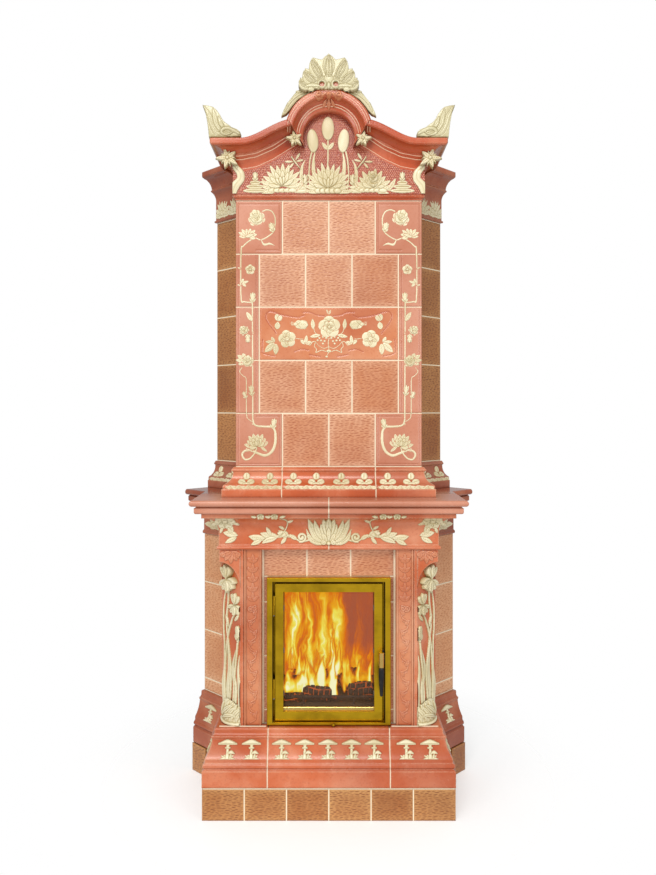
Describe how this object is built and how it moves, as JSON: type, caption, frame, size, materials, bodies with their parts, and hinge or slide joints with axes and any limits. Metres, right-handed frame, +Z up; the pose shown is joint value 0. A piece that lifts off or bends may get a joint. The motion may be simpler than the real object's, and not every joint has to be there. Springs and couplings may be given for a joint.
{
  "type": "tiled stove",
  "caption": "Corner tiled stove with a glazed fire door: chamfered pillars, mantle shelf, tiled upper tier and an arched cornice crowned by a palmette.",
  "frame": {"origin": "middle of the overall footprint box, on the floor", "axes": "+Z up, +Y towards the room corner behind the stove, +X to the viewer's right; the fire door faces -Y"},
  "size_m": [1.1242, 0.913, 2.657],
  "materials": {
    "glaze_plain": "gloss",
    "glaze_red": "gloss",
    "glaze_brown": "gloss",
    "glaze_cream": "gloss",
    "pointing": "matt",
    "masonry": "matt",
    "board": "matt",
    "firebrick": "matt",
    "casing_steel": "matt",
    "flue_steel": "satin",
    "brass": "satin",
    "iron": "matt",
    "glass": "gloss",
    "rope": "matt",
    "grip": "satin",
    "charred_wood": "matt",
    "ash": "matt"
  },
  "bodies": {
    "stove": {"air_inlet_grilles": "casing_steel", "ash_bed": "ash", "baffle": "firebrick", "base_moulding_front": "glaze_red", "base_moulding_side": "glaze_brown", "base_slab": "masonry", "border_tiles": "glaze_plain", "casing_bearers": "masonry", "core_lower": "masonry", "core_upper": "masonry", "corner_tiles_lily": "glaze_plain", "corner_tiles_rose": "glaze_plain", "cornice_return": "glaze_brown", "cornice_side": "glaze_brown", "cover_slabs": "masonry", "crest": "glaze_red", "crest_end_leaves": "glaze_cream", "crest_palmette": "glaze_cream", "door_frame": "brass", "firebox_casing": "casing_steel", "floor_bricks": "firebrick", "flue_bend": "flue_steel", "flue_collar": "flue_steel", "flue_pipe": "flue_steel", "frieze_front": "glaze_red", "frieze_side": "glaze_brown", "hinge_pins": "flue_steel", "latch_keeper": "flue_steel", "log_bar": "iron", "logs": "charred_wood", "mantle_front": "glaze_red", "mantle_side": "glaze_brown", "niche_tiles": "glaze_plain", "picture_tile": "glaze_plain", "pillar_consoles": "glaze_red", "pillar_feet": "glaze_cream", "pillars": "glaze_red", "plain_tiles_upper": "glaze_plain", "plinth_block": "masonry", "plinth_tiles_front": "glaze_plain", "plinth_tiles_side": "glaze_brown", "pointing": "pointing", "portal_strips": "glaze_red", "side_tiles_lower": "glaze_brown", "side_tiles_upper": "glaze_brown", "upper_base_front": "glaze_red", "upper_base_side": "glaze_brown", "wall_boards": "board", "wall_bricks": "firebrick"},
    "door": {"door_leaf": "brass", "door_glass": "glass", "door_seal": "rope", "glass_clips": "flue_steel", "glass_strip": "brass"},
    "handle": {"handle_hub": "brass", "handle_grip": "grip", "latch_cam": "flue_steel"},
    "air_control": {"air_knob": "brass", "air_slide": "flue_steel"}
  },
  "joints": [
    {"name": "door_hinge", "type": "hinge", "parent": "stove", "child": "door", "pos_m": [-0.1955, -0.3485, 0.5], "axis": [0, 0, -1], "range_deg": [0, 100]},
    {"name": "handle_turn", "type": "hinge", "parent": "door", "child": "handle", "pos_m": [0.1845, -0.3475, 0.556], "axis": [0, 1, 0], "range_deg": [-60, 30]},
    {"name": "air_pull", "type": "slide", "parent": "stove", "child": "air_control", "axis": [0, -1, 0], "range_m": [0, 0.024]}
  ]
}
